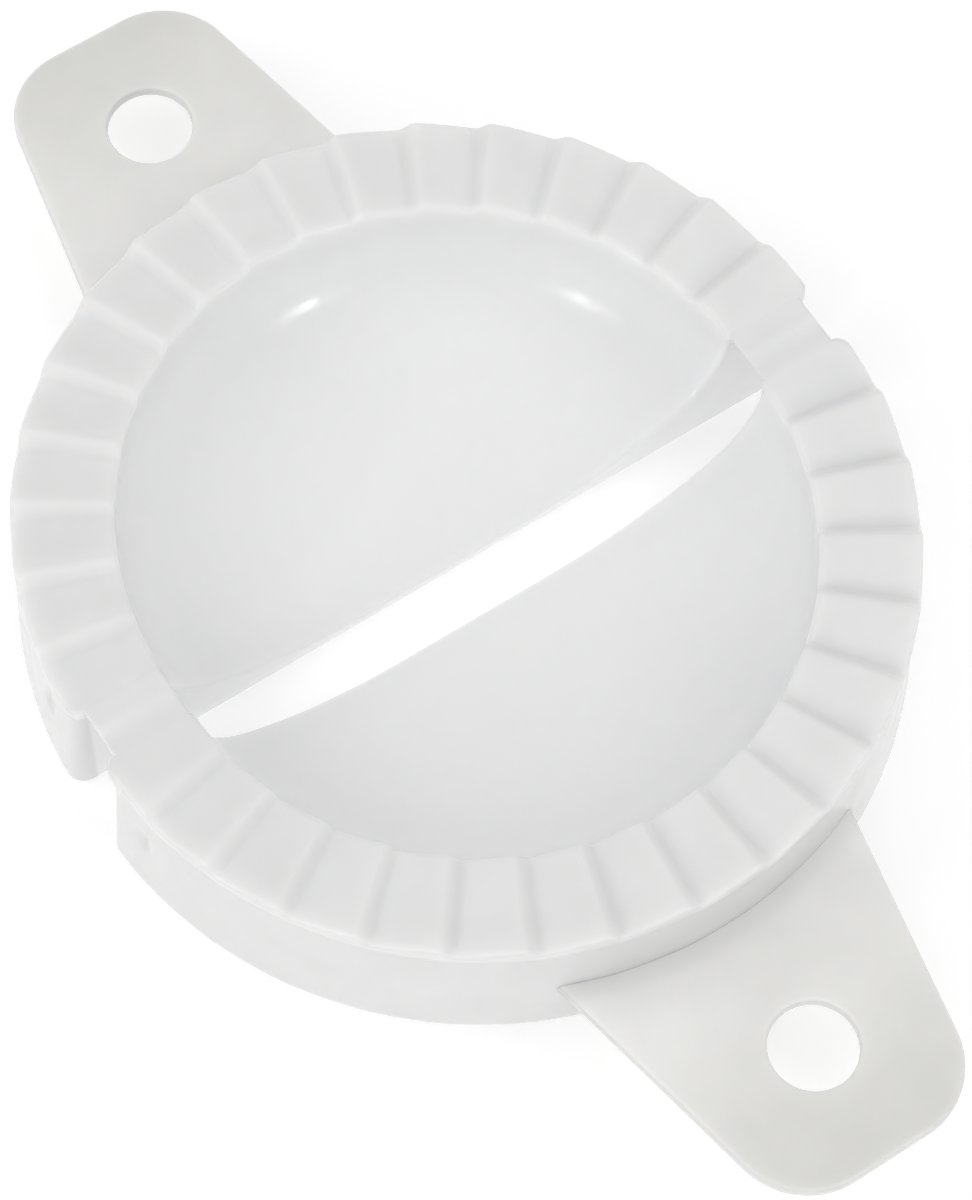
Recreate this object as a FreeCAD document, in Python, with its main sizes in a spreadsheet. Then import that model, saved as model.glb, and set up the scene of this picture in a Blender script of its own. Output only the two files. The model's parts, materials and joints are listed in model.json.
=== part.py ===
import FreeCAD, Part
import math
import os
import Sketcher

# Empanada press, open and lying flat on a table, in millimetres.
# Two equal half discs are joined by two thin film hinges. The fold line runs along X at y = 0,
# Z is up from the table, and the rear half reaches towards +Y. The front half is the rear half
# turned half a turn about Z, which is also what makes the two stepped rims mesh when it closes.
doc = FreeCAD.newDocument("EmpanadaPress")

# Driving sizes, one row each: name, value, what it is.
SIZES = (
    ("dish_radius", 47.8, "radius of the dish at its lip"),
    ("rim_width", 14.7, "width of the crimped rim, from the dish's lip outwards"),
    ("rim_height", 25.0, "table to the middle level of the rim's steps"),
    ("rim_plate", 2.4, "rim below the middle level of its steps"),
    ("rim_corner", 2.4, "rounding in plan of the rim's ends"),
    ("fold_offset", 3.7, "fold line to the rim's straight ends"),
    ("wall_setback", 0.7, "rim's straight ends to the face of the back wall"),
    ("step_count", 16, "steps round one rim"),
    ("first_step", 9.8, "angle from the rim's end to its first step, degrees"),
    ("step_height", 1.8, "height of a step at the rim's middle radius"),
    ("step_run", 1.3, "length of a step's slope at the rim's middle radius"),
    ("dish_wall", 1.4, "wall of the dish"),
    ("dish_clearance", 0.6, "table to the underside of the dish's floor"),
    ("floor_radius", 14.0, "radius of the dish's flat floor"),
    ("lip_arc", 16.0, "radius of the dish's wall below its lip"),
    ("rim_overhang", 0.6, "how far the rim reaches past the top of the skirt"),
    ("skirt_flare", 1.5, "how far the skirt spreads between the rim and the table"),
    ("skirt_wall", 1.6, "wall of the skirt and of the back wall"),
    ("skirt_corner", 2.8, "outer rounding where the skirt turns into the back wall"),
    ("dimple_across", 3.4, "width of the small dimple near each end of the skirt"),
    ("dimple_tall", 6.0, "height of the dimple"),
    ("dimple_deep", 0.7, "depth of the dimple"),
    ("dimple_level", 14.0, "table to the middle of the dimple"),
    ("dimple_inset", 8.3, "back wall's face to the middle of the dimple"),
    ("handle_length", 39.7, "rim's outer radius to the end of the handle"),
    ("handle_end_width", 32.0, "width of the handle at its end, before rounding"),
    ("handle_taper", 11.0, "angle of the handle's sides, degrees"),
    ("handle_corner", 12.0, "rounding in plan of the handle's end"),
    ("handle_top", 11.5, "table to the top of the handle"),
    ("handle_plate", 2.2, "thickness of the handle"),
    ("handle_edge", 0.7, "rounding of the handle's long edges"),
    ("hole_radius", 6.4, "radius of the hanging hole"),
    ("hole_from_end", 18.6, "end of the handle to the middle of the hanging hole"),
    ("strap_inset_out", 2.1, "rim's outer radius to the outer edge of a film hinge"),
    ("strap_inset_in", 0.5, "dish's lip to the inner edge of a film hinge"),
    ("strap_drop", 0.15, "middle level of the rim's steps to the top of a film hinge"),
    ("strap_thickness", 0.8, "film hinge beside the rims"),
    ("film_thickness", 0.4, "film hinge at its bend"),
    ("film_length", 2.4, "length of the thin bend, across the fold line"),
    ("film_ramp", 0.4, "length of the slope from the strap to its thin bend"),
)
sheet = doc.addObject("Spreadsheet::Sheet", "Sizes")
for row, (alias, value, meaning) in enumerate(SIZES, start=1):
    sheet.set(f"A{row}", meaning)
    sheet.set(f"B{row}", str(value))
    sheet.setAlias(f"B{row}", alias)
doc.recompute()

# Radii and places that follow from other sizes, as sums. A minus sign leads a size to take off.
RIM_RADIUS = ("dish_radius", "rim_width")
SKIRT_TOP_RADIUS = (*RIM_RADIUS, "-rim_overhang")
SKIRT_FOOT_RADIUS = (*SKIRT_TOP_RADIUS, "skirt_flare")
WALL_FACE = ("fold_offset", "wall_setback")
RIM_UNDERSIDE = ("rim_height", "-rim_plate")
HANDLE_END = ("fold_offset", *RIM_RADIUS, "handle_length")

FOLD_UP = FreeCAD.Vector(0, 0, 1)
HALF_TURNS = {"rear": 0.0, "front": 180.0}


def size(alias):
    """The value of one driving size, as the sheet holds it."""
    return float(sheet.get(alias))


def total(*terms):
    """A sum of driving sizes, as an expression and as a value."""
    expression = " ".join(f"- Sizes.{t[1:]}" if t[0] == "-" else f"+ Sizes.{t}" for t in terms)
    value = sum(-size(t[1:]) if t[0] == "-" else size(t) for t in terms)
    return expression.lstrip("+ "), value


def formula(*terms):
    """A sum of driving sizes in brackets, to stand inside a longer expression."""
    return f"({total(*terms)[0]})"


# Helpers for sketches and bodies.
def origin_plane(body, role):
    return next(item for item in body.Origin.OriginFeatures if item.Role == role)


def new_sketch(body, name, role, level=None):
    """An empty sketch on an origin plane of its body, moved along the plane's normal by a level."""
    sketch = body.newObject("Sketcher::SketchObject", name)
    sketch.AttachmentSupport = [(origin_plane(body, role), "")]
    sketch.MapMode = "FlatFace"
    if level:
        sketch.setExpression("AttachmentOffset.Base.z", level)
    return sketch


def dimension(sketch, name, length, kind, *where):
    """A named dimension of a sketch, tied to the sheet."""
    expression, value = length
    number = sketch.addConstraint(Sketcher.Constraint(kind, *where, value))
    sketch.renameConstraint(number, name)
    sketch.setExpression(f"Constraints.{name}", expression)


def constrain(sketch, *rows):
    sketch.addConstraint([Sketcher.Constraint(*row) for row in rows])


def point(x, y, z=0.0):
    return FreeCAD.Vector(x, y, z)


def segment(x0, y0, x1, y1):
    return Part.LineSegment(point(x0, y0), point(x1, y1))


def arc(x, y, radius, start, end):
    """An arc about (x, y), anticlockwise between two angles in radians."""
    return Part.ArcOfCircle(Part.Circle(point(x, y), point(0, 0, 1), radius), start, end)


def boolean(kind, name, base, tool):
    """Part::Cut or Part::Common of two objects."""
    result = doc.addObject(kind, name)
    result.Base = base
    result.Tool = tool
    return result


def box(name, **expressions):
    """A Part::Box whose sizes and corner are expressions on the sheet."""
    result = doc.addObject("Part::Box", name)
    for field, expression in expressions.items():
        path = f"Placement.Base.{field}" if field in "xyz" else field
        result.setExpression(path, expression)
    return result


def place(result, node, side):
    """Names a finished sub-part and turns it to its side of the fold."""
    result.Label = node
    result.Placement = FreeCAD.Placement(point(0, 0), FreeCAD.Rotation(FOLD_UP, HALF_TURNS[side]))
    nodes.append(result)


nodes = []


# Half disc: a straight side along the fold, one large arc and a small arc at each corner.
def half_disc_sketch(body, name, radius, corner, edge, level):
    sketch = new_sketch(body, name, "XY_Plane", level)
    centre_y = size("fold_offset")
    large, small, edge_y = radius[1], corner[1], edge[1]
    corner_y = edge_y + small
    corner_x = math.sqrt((large - small) ** 2 - (corner_y - centre_y) ** 2)
    turn = math.atan2(corner_y - centre_y, corner_x)
    sketch.addGeometry([
        segment(-corner_x, edge_y, corner_x, edge_y),
        arc(corner_x, corner_y, small, -math.pi / 2, turn),
        arc(0, centre_y, large, turn, math.pi - turn),
        arc(-corner_x, corner_y, small, math.pi - turn, 1.5 * math.pi),
    ], False)
    constrain(
        sketch,
        ("Tangent", 0, 2, 1, 1),
        ("Tangent", 1, 2, 2, 1),
        ("Tangent", 2, 2, 3, 1),
        ("Tangent", 3, 2, 0, 1),
        ("PointOnObject", 2, 3, -2),
        ("Horizontal", 0),
        ("Equal", 1, 3),
    )
    dimension(sketch, "centre", total("fold_offset"), "DistanceY", -1, 1, 2, 3)
    dimension(sketch, "edge", edge, "DistanceY", -1, 1, 0, 1)
    dimension(sketch, "large", radius, "Radius", 2)
    dimension(sketch, "small", corner, "Radius", 1)
    return sketch


# Rim: a half ring whose top is a fan of flat facets. Every crest and every foot of a step is a
# straight line through one point on the half's own axis, so a step grows with the radius.
def fan_points():
    """Angle in radians and slope (rise per radius) of each line of the fan, from +X round to -X."""
    middle_radius = size("dish_radius") + size("rim_width") / 2
    rise = size("step_height") / 2 / middle_radius
    half_run = size("step_run") / 2 / middle_radius
    first = math.radians(size("first_step"))
    count = int(size("step_count"))
    pitch = (math.pi - 2 * first) / (count - 1)
    lines = [(0.0, 0.0)]
    for number in range(count):
        angle = first + number * pitch
        lines.append((angle - half_run, rise))
        lines.append((angle + half_run, -rise))
    lines.append((math.pi, 0.0))
    return lines


def fan_solid(reach, depth):
    """The solid under the fan, out to a reach past the rim and down to a depth below it."""
    apex = point(0, 0, 0)
    top = [point(reach * math.cos(a), reach * math.sin(a), reach * slope) for a, slope in fan_points()]
    foot = [point(corner.x, corner.y, -depth) for corner in top]
    outlines = [[apex, near, far] for near, far in zip(top, top[1:])]
    outlines += [[n, f, g, m] for n, f, g, m in zip(top, top[1:], foot[1:], foot)]
    outlines.append(foot)
    outlines.append([apex, top[0], foot[0], foot[-1], top[-1]])
    faces = [Part.Face(Part.makePolygon(outline + outline[:1])) for outline in outlines]
    solid = Part.makeSolid(Part.makeShell(faces))
    if solid.Volume < 0:
        solid.reverse()
    return solid


def make_rim(side):
    body = doc.addObject("PartDesign::Body", f"{side}_rim_blank")
    outline = half_disc_sketch(body, f"{side}_rim_outline", total(*RIM_RADIUS), total("rim_corner"),
                               total("fold_offset"), formula(*RIM_UNDERSIDE))
    pad = body.newObject("PartDesign::Pad", f"{side}_rim_pad")
    pad.Profile = outline
    pad.setExpression("Length", "Sizes.rim_plate + Sizes.step_height")

    fan = doc.addObject("Part::Feature", f"{side}_rim_fan")
    fan.Shape = fan_solid(total(*RIM_RADIUS, "rim_plate")[1], total("rim_plate", "step_height")[1])
    fan.Placement = FreeCAD.Placement(point(0, size("fold_offset"), size("rim_height")), FreeCAD.Rotation())
    stepped = boolean("Part::Common", f"{side}_rim_stepped", body, fan)

    mouth = doc.addObject("Part::Cylinder", f"{side}_rim_mouth")
    mouth.setExpression("Radius", "Sizes.dish_radius")
    mouth.setExpression("Height", "Sizes.rim_height + 2 * Sizes.step_height")
    mouth.setExpression("Placement.Base.y", "Sizes.fold_offset")
    place(boolean("Part::Cut", f"{side}_rim", stepped, mouth), f"{side}_crimped_rim", side)


# Dish: a bowl turned about the half's own axis, cut off at the back wall's face.
def bowl_sketch(body, name, wall):
    """Half the bowl's section: flat floor, a wide arc, and a tighter arc that ends upright at the lip.

    wall lists the sizes that the outer form adds to the inner one.
    """
    sketch = new_sketch(body, name, "XZ_Plane")
    mouth = total("dish_radius", *wall)
    lip = total(*RIM_UNDERSIDE)
    floor = total("dish_clearance", "dish_wall", *[f"-{item}" for item in wall])
    tight = total("lip_arc", *wall)
    flat = total("floor_radius")
    across = mouth[1] - tight[1] - flat[1]
    drop = lip[1] - floor[1]
    wide = (across ** 2 + drop ** 2 - tight[1] ** 2) / (2 * (drop - tight[1]))
    turn = math.atan2(drop - wide, across)
    sketch.addGeometry([
        segment(0, floor[1], flat[1], floor[1]),
        arc(flat[1], floor[1] + wide, wide, -math.pi / 2, turn),
        arc(mouth[1] - tight[1], lip[1], tight[1], turn, 0),
        segment(mouth[1], lip[1], 0, lip[1]),
        segment(0, lip[1], 0, floor[1]),
    ], False)
    constrain(
        sketch,
        ("Tangent", 0, 2, 1, 1),
        ("Tangent", 1, 2, 2, 1),
        ("Coincident", 2, 2, 3, 1),
        ("Coincident", 3, 2, 4, 1),
        ("Coincident", 4, 2, 0, 1),
        ("Horizontal", 0),
        ("Horizontal", 3),
        ("Horizontal", 2, 3, 2, 2),
        ("PointOnObject", 3, 2, -2),
        ("PointOnObject", 0, 1, -2),
    )
    dimension(sketch, "floor", floor, "DistanceY", -1, 1, 0, 1)
    dimension(sketch, "lip", lip, "DistanceY", -1, 1, 3, 1)
    dimension(sketch, "mouth", mouth, "DistanceX", -1, 1, 3, 1)
    dimension(sketch, "flat", flat, "DistanceX", -1, 1, 0, 2)
    dimension(sketch, "tight", tight, "Radius", 2)
    return sketch


def bowl_form(name, wall):
    body = doc.addObject("PartDesign::Body", name)
    profile = bowl_sketch(body, f"{name}_section", wall)
    turned = body.newObject("PartDesign::Revolution", f"{name}_turned")
    turned.Profile = profile
    turned.ReferenceAxis = (profile, ["V_Axis"])
    turned.Angle = 360
    body.setExpression("Placement.Base.y", "Sizes.fold_offset")
    return body


def behind_wall_face(name):
    """A block that holds everything behind the face of the back wall."""
    reach = formula(*RIM_RADIUS)
    return box(name, Length=f"2 * {reach}", Width=reach, Height="Sizes.rim_height",
               x=f"-{reach}", y=formula(*WALL_FACE))


def make_dish(side):
    outer = bowl_form(f"{side}_dish_outer", ["dish_wall"])
    inner = bowl_form(f"{side}_dish_inner", [])
    bowl = boolean("Part::Cut", f"{side}_dish_bowl", outer, inner)
    half = boolean("Part::Common", f"{side}_dish_half", bowl, behind_wall_face(f"{side}_dish_side"))
    place(half, f"{side}_dish", side)


# Skirt and back wall: one upright wall of even thickness round a half disc, wider at the table.
def skirt_form(name, wall):
    """The filled half disc inside a wall's outer or inner face, from the table to the rim."""
    body = doc.addObject("PartDesign::Body", name)
    taken = [f"-{item}" for item in wall]
    corner = total("skirt_corner", *taken)
    edge = total(*WALL_FACE, *wall)
    foot = half_disc_sketch(body, f"{name}_foot", total(*SKIRT_FOOT_RADIUS, *taken), corner, edge, None)
    top = half_disc_sketch(body, f"{name}_top", total(*SKIRT_TOP_RADIUS, *taken), corner, edge,
                           formula(*RIM_UNDERSIDE))
    loft = body.newObject("PartDesign::AdditiveLoft", f"{name}_loft")
    loft.Profile = foot
    loft.Sections = [(top, [""])]
    loft.Ruled = True
    return body


def upright_wall(side, name):
    outer = skirt_form(f"{side}_{name}_outer", [])
    inner = skirt_form(f"{side}_{name}_inner", ["skirt_wall"])
    return boolean("Part::Cut", f"{side}_{name}_ring", outer, inner)


def dimple(name, end):
    """A small oval hollow in the skirt's outer face, near one end (+1 or -1) of the skirt."""
    result = doc.addObject("Part::Ellipsoid", name)
    result.setExpression("Radius1", "Sizes.dimple_tall / 2")
    result.setExpression("Radius2", "Sizes.dimple_deep")
    result.setExpression("Radius3", "Sizes.dimple_across / 2")
    climb = f"Sizes.dimple_level / {formula(*RIM_UNDERSIDE)}"
    radius = f"({formula(*SKIRT_FOOT_RADIUS)} - Sizes.skirt_flare * {climb})"
    inset = formula("wall_setback", "dimple_inset")
    result.setExpression("Placement.Base.x", f"{end} * sqrt({radius}^2 - {inset}^2)")
    result.setExpression("Placement.Base.y", formula(*WALL_FACE, "dimple_inset"))
    result.setExpression("Placement.Base.z", "Sizes.dimple_level")
    return result


def corner_band(name):
    """A block from the fold line to where the rounded corners of the back wall end."""
    reach = formula(*SKIRT_FOOT_RADIUS)
    return box(name, Length=f"2 * {reach}", Width=formula(*WALL_FACE, "skirt_corner"),
               Height="Sizes.rim_height", x=f"-{reach}")


def make_skirt(side):
    ring = upright_wall(side, "skirt")
    wall = boolean("Part::Cut", f"{side}_skirt_wall", ring, corner_band(f"{side}_skirt_band"))
    right = boolean("Part::Cut", f"{side}_skirt_right", wall, dimple(f"{side}_dimple_right", 1))
    left = boolean("Part::Cut", f"{side}_skirt_left", right, dimple(f"{side}_dimple_left", -1))
    place(left, f"{side}_skirt", side)


def make_back_wall(side):
    ring = upright_wall(side, "wall")
    strip = boolean("Part::Common", f"{side}_wall_strip", ring, corner_band(f"{side}_wall_band"))
    bowl = bowl_form(f"{side}_wall_bowl", ["dish_wall"])
    place(boolean("Part::Cut", f"{side}_wall_cut", strip, bowl), f"{side}_back_wall", side)


# Handle: a flat tapered tab with a hanging hole, trimmed to the skirt that carries it.
def handle_sketch(body, name):
    sketch = new_sketch(body, name, "XY_Plane", "Sizes.handle_top - Sizes.handle_plate")
    end = total(*HANDLE_END)
    # The plate starts under the dish's lip, well inside the skirt, and is trimmed to it afterwards.
    root = total("fold_offset", "dish_radius")
    corner = total("handle_corner")
    taper = math.radians(size("handle_taper"))
    end_half = size("handle_end_width") / 2
    root_half = end_half + (end[1] - root[1]) * math.tan(taper)
    # Each corner arc turns through a right angle less the taper.
    arc_x = end_half - corner[1] * math.tan((math.pi / 2 - taper) / 2)
    arc_y = end[1] - corner[1]
    side_x = arc_x + corner[1] * math.cos(taper)
    side_y = arc_y + corner[1] * math.sin(taper)
    sketch.addGeometry([
        segment(-root_half, root[1], root_half, root[1]),
        segment(root_half, root[1], side_x, side_y),
        arc(arc_x, arc_y, corner[1], taper, math.pi / 2),
        segment(arc_x, end[1], -arc_x, end[1]),
        arc(-arc_x, arc_y, corner[1], math.pi / 2, math.pi - taper),
        segment(-side_x, side_y, -root_half, root[1]),
    ], False)
    constrain(
        sketch,
        ("Coincident", 0, 2, 1, 1),
        ("Tangent", 1, 2, 2, 1),
        ("Tangent", 2, 2, 3, 1),
        ("Tangent", 3, 2, 4, 1),
        ("Tangent", 4, 2, 5, 1),
        ("Coincident", 5, 2, 0, 1),
        ("Symmetric", 0, 1, 0, 2, -2),
        ("Symmetric", 2, 3, 4, 3, -2),
        ("Equal", 2, 4),
    )
    dimension(sketch, "root", root, "DistanceY", -1, 1, 0, 1)
    dimension(sketch, "end", end, "DistanceY", -1, 1, 3, 1)
    dimension(sketch, "corner", corner, "Radius", 2)
    widening = f"2 * {formula('rim_width', 'handle_length')} * tan(Sizes.handle_taper)"
    root_width = (f"Sizes.handle_end_width + {widening}", 2 * root_half)
    dimension(sketch, "root_width", root_width, "DistanceX", 0, 1, 0, 2)
    dimension(sketch, "lean", ("90 + Sizes.handle_taper", math.pi / 2 + taper), "Angle", 1)
    return sketch


def long_edges(solid):
    """Names of the plate's edges that lie in its two flat faces, away from its root."""
    root = solid.BoundBox.YMin
    names = []
    for number, edge in enumerate(solid.Edges, start=1):
        span = edge.BoundBox
        level = span.ZLength < 1e-3
        at_root = span.YMax - root < 1e-3
        if level and not at_root:
            names.append(f"Edge{number}")
    return names


def make_handle(side):
    body = doc.addObject("PartDesign::Body", f"{side}_handle_body")
    plate = body.newObject("PartDesign::Pad", f"{side}_handle_plate")
    plate.Profile = handle_sketch(body, f"{side}_handle_outline")
    plate.setExpression("Length", "Sizes.handle_plate")
    doc.recompute()

    rounding = body.newObject("PartDesign::Fillet", f"{side}_handle_rounding")
    rounding.Base = (plate, long_edges(plate.Shape))
    rounding.setExpression("Radius", "min(Sizes.handle_edge; 0.45 * Sizes.handle_plate)")

    ring = new_sketch(body, f"{side}_hanging_hole_outline", "XY_Plane", "Sizes.handle_top")
    middle = total(*HANDLE_END, "-hole_from_end")
    ring.addGeometry(Part.Circle(point(0, middle[1]), point(0, 0, 1), size("hole_radius")), False)
    constrain(ring, ("PointOnObject", 0, 3, -2))
    dimension(ring, "middle", middle, "DistanceY", -1, 1, 0, 3)
    dimension(ring, "radius", total("hole_radius"), "Radius", 0)
    hole = body.newObject("PartDesign::Pocket", f"{side}_hanging_hole")
    hole.Profile = ring
    hole.Type = "ThroughAll"
    hole.Midplane = True

    trimmed = boolean("Part::Cut", f"{side}_handle_trimmed", body, skirt_form(f"{side}_handle_seat", []))
    place(trimmed, f"{side}_handle", side)


# Film hinge: a flat strap between the rims' ends, thinned from below where it bends.
def strap_sketch(body, name):
    sketch = new_sketch(body, name, "YZ_Plane", "Sizes.dish_radius + Sizes.strap_inset_in")
    top = total("rim_height", "-strap_drop")
    thick = total("strap_thickness")
    thin = total("film_thickness")
    half = size("fold_offset")
    bend = size("film_length") / 2
    ramp = bend + size("film_ramp")
    corners = (
        (half, top[1]), (-half, top[1]), (-half, top[1] - thick[1]), (-ramp, top[1] - thick[1]),
        (-bend, top[1] - thin[1]), (bend, top[1] - thin[1]), (ramp, top[1] - thick[1]),
        (half, top[1] - thick[1]),
    )
    count = len(corners)
    sketch.addGeometry([segment(*corners[n], *corners[(n + 1) % count]) for n in range(count)], False)
    constrain(sketch, *[("Coincident", n, 2, (n + 1) % count, 1) for n in range(count)])
    constrain(sketch, *[("Horizontal", n) for n in (2, 6)])
    constrain(
        sketch,
        ("Vertical", 1),
        ("Vertical", 7),
        ("Symmetric", 0, 1, 0, 2, -2),
        ("Symmetric", 2, 2, 6, 1, -2),
        ("Symmetric", 4, 1, 4, 2, -2),
    )
    dimension(sketch, "top", top, "DistanceY", -1, 1, 0, 1)
    dimension(sketch, "width", ("2 * Sizes.fold_offset", 2 * half), "DistanceX", 0, 2, 0, 1)
    dimension(sketch, "thick", thick, "DistanceY", 1, 2, 1, 1)
    dimension(sketch, "thin", thin, "DistanceY", 4, 1, 0, 1)
    dimension(sketch, "bend", total("film_length"), "DistanceX", 4, 1, 4, 2)
    dimension(sketch, "ramp", total("film_ramp"), "DistanceX", 2, 2, 3, 2)
    return sketch


def make_film_hinge(node, side):
    body = doc.addObject("PartDesign::Body", f"{node}_body")
    strap = body.newObject("PartDesign::Pad", f"{node}_strap")
    strap.Profile = strap_sketch(body, f"{node}_section")
    strap.setExpression("Length", formula("rim_width", "-strap_inset_out", "-strap_inset_in"))
    place(body, node, side)


for half in HALF_TURNS:
    make_rim(half)
    make_dish(half)
    make_skirt(half)
    make_back_wall(half)
    make_handle(half)
make_film_hinge("right_film_hinge", "rear")
make_film_hinge("left_film_hinge", "front")
doc.recompute()

for item in doc.Objects:
    if "Invalid" in item.State or "Error" in item.State:
        raise RuntimeError(f"{item.Name} did not recompute: {item.State}")
for item in nodes:
    if item.Shape.isNull() or not item.Shape.isValid() or len(item.Shape.Solids) != 1:
        raise RuntimeError(f"{item.Label} is not one valid solid")

os.makedirs("parts", exist_ok=True)
for item in nodes:
    item.Shape.exportStep(f"parts/{item.Label}.step")
    print(item.Label, round(item.Shape.Volume, 1), "cubic mm")
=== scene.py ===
# %% [markdown]
# An empanada press in natural white polypropylene, lying open on a table.
# The construction is already there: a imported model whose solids, joints and mounts are fixed.
# This lesson dresses it. Every length of the press is written in millimetres and turned into metres
# at the last moment, because a moulding is drawn in millimetres.

# %% Load the construction
import json
import math

import bmesh
import bpy
import numpy as np
from mathutils import Matrix, Vector


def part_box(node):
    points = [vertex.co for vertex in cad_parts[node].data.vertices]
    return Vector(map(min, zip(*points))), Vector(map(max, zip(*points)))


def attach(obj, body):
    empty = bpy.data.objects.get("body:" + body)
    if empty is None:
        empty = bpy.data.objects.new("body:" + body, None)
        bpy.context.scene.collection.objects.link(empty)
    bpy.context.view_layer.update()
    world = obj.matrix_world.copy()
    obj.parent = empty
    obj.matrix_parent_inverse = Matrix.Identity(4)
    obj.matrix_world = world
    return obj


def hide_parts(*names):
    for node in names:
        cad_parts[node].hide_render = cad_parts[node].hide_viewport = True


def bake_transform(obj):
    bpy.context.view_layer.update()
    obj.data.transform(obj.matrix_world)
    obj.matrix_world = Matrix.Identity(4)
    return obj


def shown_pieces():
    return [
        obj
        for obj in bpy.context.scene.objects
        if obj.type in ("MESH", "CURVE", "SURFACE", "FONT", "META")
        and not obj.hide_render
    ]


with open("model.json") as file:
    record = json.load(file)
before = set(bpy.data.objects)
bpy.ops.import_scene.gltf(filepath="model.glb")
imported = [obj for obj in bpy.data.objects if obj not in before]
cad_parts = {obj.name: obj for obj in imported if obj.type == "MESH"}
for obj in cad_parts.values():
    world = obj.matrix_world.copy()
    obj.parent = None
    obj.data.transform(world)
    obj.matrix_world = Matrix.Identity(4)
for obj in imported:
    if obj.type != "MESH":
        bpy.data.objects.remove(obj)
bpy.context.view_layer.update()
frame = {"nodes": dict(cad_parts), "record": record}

scene = bpy.context.scene
MM = 0.001
print("nodes:", ", ".join(sorted(frame["nodes"])))

# %% [markdown]
# The press is one moulding, so its walls flow into each other with soft edges. The sizes that the
# solids already hold are read off them, not written again: the rear half's boxes give the rim, the
# dish, the skirt and the handle, and the record gives the hanging hole.
# The half's own axis stands on the rim's straight ends, so a half is drawn about that axis, with
# u along the fold line and v away from it.

# %% Sizes that the solids give


def box_mm(node):
    """Lowest and highest corner of a node, in millimetres."""
    low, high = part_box(node)
    return low / MM, high / MM


rim_low, rim_high = box_mm("rear_crimped_rim")
dish_low, dish_high = box_mm("rear_dish")
_, skirt_high = box_mm("rear_skirt")
wall_low, _ = box_mm("rear_back_wall")
handle_low, handle_high = box_mm("rear_handle")
strap_low, strap_high = box_mm("right_film_hinge")
hole = next(m for m in frame["record"]["mounts"] if m["name"] == "rear_hanging_hole")

AXIS_Y = rim_low.y
RIM_RADIUS = rim_high.y - AXIS_Y
RIM_UNDERSIDE = rim_low.z
SKIRT_FOOT = skirt_high.y - AXIS_Y
WALL_FACE = wall_low.y - AXIS_Y
DISH_FLOOR_UNDERSIDE = dish_low.z
HANDLE_END = handle_high.y - AXIS_Y
HOLE_V = hole["pos_m"][1] / MM - AXIS_Y
HOLE_RADIUS = hole["dims"]["r_mm"]
print(f"rim radius {RIM_RADIUS:.2f}, skirt foot {SKIRT_FOOT:.2f}, wall face {WALL_FACE:.2f} mm")

# %% [markdown]
# A box gives no wall thickness and no roundings. These are the moulding's own drawing sizes, with
# the soft edges that a steel mould's cutter leaves.

# %% Sizes of the moulding that a box can't give
DISH_WALL = 1.4
DISH_RADIUS = dish_high.y - AXIS_Y - DISH_WALL
SKIRT_WALL = 1.6
RIM_OVERHANG = 0.6
SKIRT_TOP = RIM_RADIUS - RIM_OVERHANG
FLOOR_RADIUS = 14.0
LIP_ARC = 16.0
RIM_LEVEL = 25.0
RIM_CORNER = 2.4
WALL_CORNER = 2.8
TOP_EDGE = 0.7
LIP_EDGE = 0.9
SHARP_EDGE = 0.35
EDGE_BREAK = 0.1
print(f"dish radius {DISH_RADIUS:.2f}, skirt under the rim {SKIRT_TOP:.2f} mm")

# %% [markdown]
# The crimping steps. On the real press each facet of the rim climbs gently and then drops to the
# next one, like a saw, and every line of it points at the half's axis. The height is therefore a
# slope times the radius. A crisp saw would look like cut card, so the slope is averaged over a
# narrow window, which is what rounds the crests and the feet.

# %% Height of the rim's top at any place
STEP_COUNT = 16
FIRST_STEP = math.radians(9.8)
STEP_HEIGHT = 1.8
STEP_RUN = 1.3
STEP_EDGE = 0.8
WINDOW_SAMPLES = 17
middle_radius = (RIM_RADIUS + DISH_RADIUS) / 2
rise = STEP_HEIGHT / 2 / middle_radius
half_run = STEP_RUN / 2 / middle_radius
half_edge = STEP_EDGE / middle_radius
pitch = (math.pi - 2 * FIRST_STEP) / (STEP_COUNT - 1)
step_angles = [FIRST_STEP + number * pitch for number in range(STEP_COUNT)]
saw_angles, saw_slopes = [0.0], [0.0]
for angle in step_angles:
    saw_angles += [angle - half_run, angle + half_run]
    saw_slopes += [rise, -rise]
saw_angles.append(math.pi)
saw_slopes.append(0.0)


def saw_slope(angle):
    """Rise per radius at an angle, averaged over the rounding of an edge."""
    window = np.linspace(-half_edge, half_edge, WINDOW_SAMPLES)
    return float(np.interp(angle + window, saw_angles, saw_slopes).mean())


def rim_top(u, v):
    """Level of the rim's top at a place on the half."""
    return RIM_LEVEL + math.hypot(u, v) * saw_slope(math.atan2(v, u))


print("steps every", round(math.degrees(pitch), 3), "degrees")

# %% [markdown]
# Columns run across the rim from the dish to the outer edge. They stand close together at each
# step's crest and foot and further apart on the facets, so that every bend of the surface has its
# own edge. The first columns of each end follow the rounded corner instead. The number of columns
# is odd, so that one of them stands in the middle of the half.

# %% Angles of the columns
CORNER_COLUMNS = 6
END_COLUMNS = 3
STEP_COLUMNS = 6
FACET_COLUMNS = 2
END_CROWDING = 1.3
half_step = half_run + half_edge
end_angle = step_angles[0] - half_step
columns = [end_angle]
for number, angle in enumerate(step_angles):
    columns += [angle + half_step * (2 * n / STEP_COLUMNS - 1) for n in range(1, STEP_COLUMNS + 1)]
    if number < STEP_COUNT - 1:
        start, stop = columns[-1], step_angles[number + 1] - half_step
        columns += [start + (stop - start) * n / FACET_COLUMNS for n in range(1, FACET_COLUMNS + 1)]
END = CORNER_COLUMNS + END_COLUMNS
COLUMN_COUNT = len(columns) + 2 * END
LAST = COLUMN_COUNT - 1


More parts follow.
